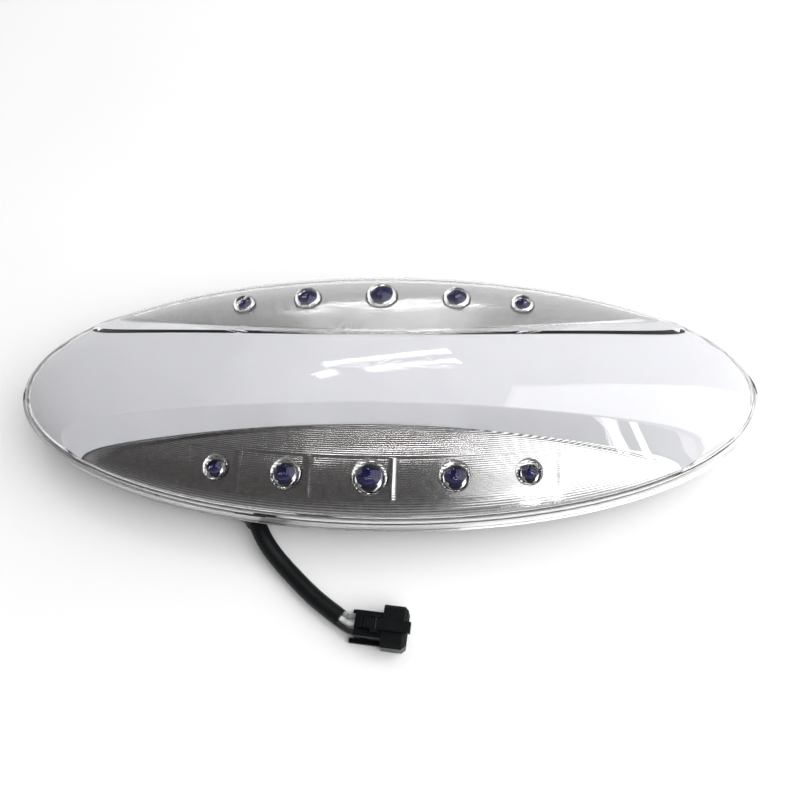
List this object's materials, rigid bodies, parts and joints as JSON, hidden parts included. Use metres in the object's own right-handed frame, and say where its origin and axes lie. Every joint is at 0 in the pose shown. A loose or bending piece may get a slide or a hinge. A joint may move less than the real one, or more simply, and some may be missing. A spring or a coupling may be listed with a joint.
{
  "type": "underwater pool light",
  "caption": "Sealed oval surface-mounted underwater light with a clear domed lens, opal centre band, ribbed reflectors with blue LEDs under magnifier domes, and a short pigtail lead.",
  "frame": {"origin": "centre of the back face of the light, in the plane it stands on", "axes": "+X along the light, +Z out of the lens; the lead leaves on the -Y side"},
  "size_m": [0.244, 0.1276, 0.0356],
  "materials": {
    "clear_polycarbonate": "clear, polished, injection moulded",
    "opal_polycarbonate": "milky opal, satin",
    "metallised_reflector": "vacuum metallised, finely ribbed",
    "metallised_carrier": "vacuum metallised, satin",
    "bond_sealant": "translucent yellowish bead",
    "black_abs": "fine spark texture",
    "seal_rubber": "matt",
    "brass_insert": "turned",
    "spreader_aluminium": "mill finish",
    "white_board": "white solder mask",
    "green_board": "green solder mask",
    "white_led_package": "white package with phosphor",
    "blue_led_epoxy": "deep blue epoxy",
    "screw_steel": "zinc plated",
    "black_component": "moulded epoxy",
    "capacitor_can": "plain can",
    "ferrite": "ferrite",
    "resistor_ceramic": "chip",
    "terminal_green": "nylon",
    "black_nylon": "satin moulded",
    "cable_jacket": "satin PVC",
    "white_insulation": "PVC",
    "grey_insulation": "PVC",
    "black_insulation": "PVC",
    "grey_seal_rubber": "silicone",
    "tinned_contact": "tinned"
  },
  "bodies": {
    "light": {"ballast_resistors": "resistor_ceramic", "blue_led_front_1": "blue_led_epoxy", "blue_led_front_2": "blue_led_epoxy", "blue_led_front_3": "blue_led_epoxy", "blue_led_front_4": "blue_led_epoxy", "blue_led_front_5": "blue_led_epoxy", "blue_led_rear_1": "blue_led_epoxy", "blue_led_rear_2": "blue_led_epoxy", "blue_led_rear_3": "blue_led_epoxy", "blue_led_rear_4": "blue_led_epoxy", "blue_led_rear_5": "blue_led_epoxy", "blue_regulator": "black_component", "cable_entry": "cable_jacket", "cable_gland": "black_nylon", "cable_sheath": "cable_jacket", "carrier_ring": "metallised_carrier", "carrier_screws": "screw_steel", "connector_housing": "black_nylon", "contact_pin_1": "tinned_contact", "contact_pin_2": "tinned_contact", "contact_pin_3": "tinned_contact", "core_black": "black_insulation", "core_grey": "grey_insulation", "core_white": "white_insulation", "driver_board": "green_board", "driver_screws": "screw_steel", "front_jumper": "black_insulation", "front_led_strip": "white_board", "front_reflector": "metallised_reflector", "front_strip_screws": "screw_steel", "gland_nut": "black_nylon", "gland_seal": "seal_rubber", "heat_spreader": "spreader_aluminium", "housing_seal": "seal_rubber", "inner_lead_black": "black_insulation", "inner_lead_grey": "grey_insulation", "inner_lead_white": "white_insulation", "input_diode": "black_component", "lens_bond_bead": "bond_sealant", "main_board_screws": "screw_steel", "main_jumper": "black_insulation", "main_led_board": "white_board", "mounting_inserts": "brass_insert", "opal_diffuser": "opal_polycarbonate", "outer_lens": "clear_polycarbonate", "power_inductor": "ferrite", "rear_housing": "black_abs", "rear_jumper": "black_insulation", "rear_led_strip": "white_board", "rear_reflector": "metallised_reflector", "rear_strip_screws": "screw_steel", "smoothing_capacitor": "capacitor_can", "strain_relief_boot": "seal_rubber", "terminal_block": "terminal_green", "white_led_row_front": "white_led_package", "white_led_row_rear": "white_led_package", "white_regulator": "black_component", "wire_seal": "grey_seal_rubber"},
    "lever": {"locking_lever": "black_nylon"}
  },
  "joints": [
    {"name": "lever_press", "type": "hinge", "parent": "light", "child": "lever", "pos_m": [0.00278, -0.07356, 0.0088], "axis": [-0.0872, -0.9962, 0], "range_deg": [0, 7], "stiffness_Nm_per_rad": 0.1}
  ]
}
